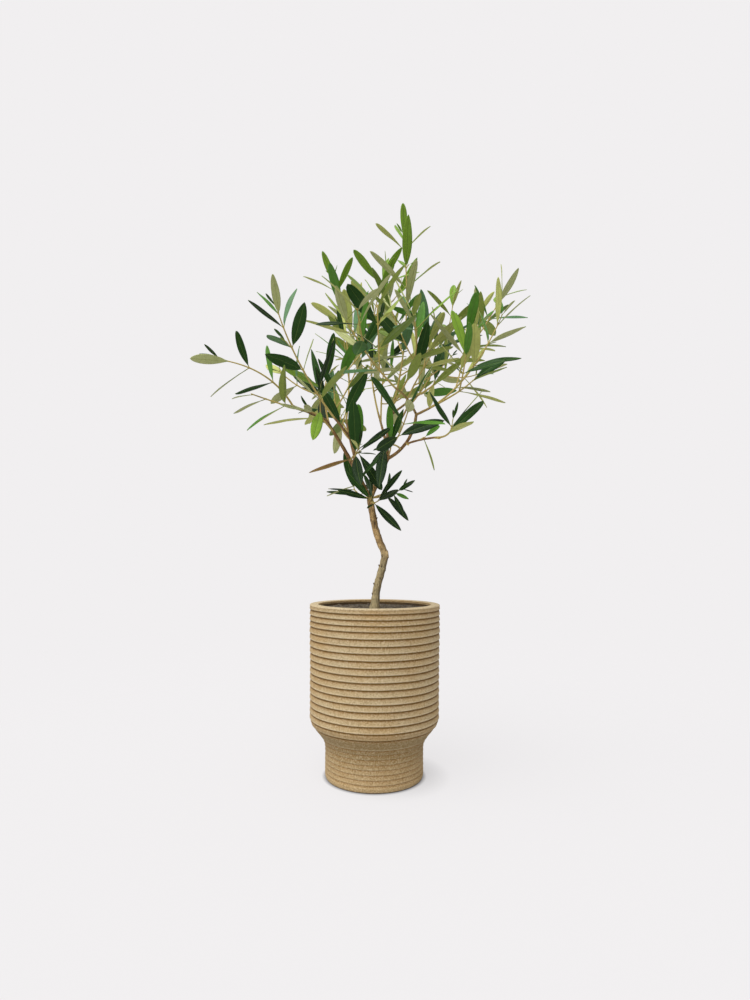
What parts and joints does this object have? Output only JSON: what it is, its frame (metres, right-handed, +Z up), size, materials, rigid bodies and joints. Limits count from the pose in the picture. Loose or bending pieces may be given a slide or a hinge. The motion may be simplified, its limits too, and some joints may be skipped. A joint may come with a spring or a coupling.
{
  "type": "potted olive tree",
  "caption": "Young olive tree with an open crown of slim grey-green leaves on a thin kinked trunk, in a ribbed sandy stoneware pot that narrows to a straight foot.",
  "frame": {"origin": "centre of the pot's flat underside, on the surface that the pot stands on", "axes": "+Z straight up through the pot, -Y towards the front that the picture shows, +X to the right of that front"},
  "size_m": [0.4826, 0.4529, 0.8564],
  "materials": {
    "stoneware": "unglazed, sandy and matt",
    "potting_mix": "loose bark and compost",
    "bark": "matt bark",
    "leaves": "leathery, silvery olive beneath"
  },
  "bodies": {
    "root": {"pot": "stoneware", "soil": "potting_mix", "trunk": "bark", "bough_right": "bark", "bough_left": "bark", "bough_leader": "bark", "bough_right_out": "bark", "bough_left_front": "bark", "bough_far_left": "bark", "bough_front_up": "bark", "bough_far_right": "bark", "bough_right_back": "bark", "bough_right_low": "bark", "bough_back_left": "bark", "bough_back": "bark", "bough_back_right": "bark", "foliage_far_left": "leaves", "foliage_left_low": "leaves", "foliage_left_top": "leaves", "foliage_left_inner": "leaves", "foliage_back_left": "leaves", "foliage_front": "leaves", "foliage_top_left": "leaves", "foliage_top": "leaves", "foliage_right_top": "leaves", "foliage_far_right": "leaves", "foliage_right_out": "leaves", "foliage_right_low": "leaves", "foliage_back_right": "leaves", "foliage_centre": "leaves", "foliage_fork_right": "leaves", "foliage_fork_front": "leaves", "foliage_fork_left": "leaves", "foliage_front_low": "leaves", "foliage_front_centre": "leaves", "foliage_mid_left": "leaves", "foliage_inner_left": "leaves", "foliage_inner_right": "leaves", "foliage_back": "leaves", "foliage_back_low": "leaves"}
  },
  "joints": []
}
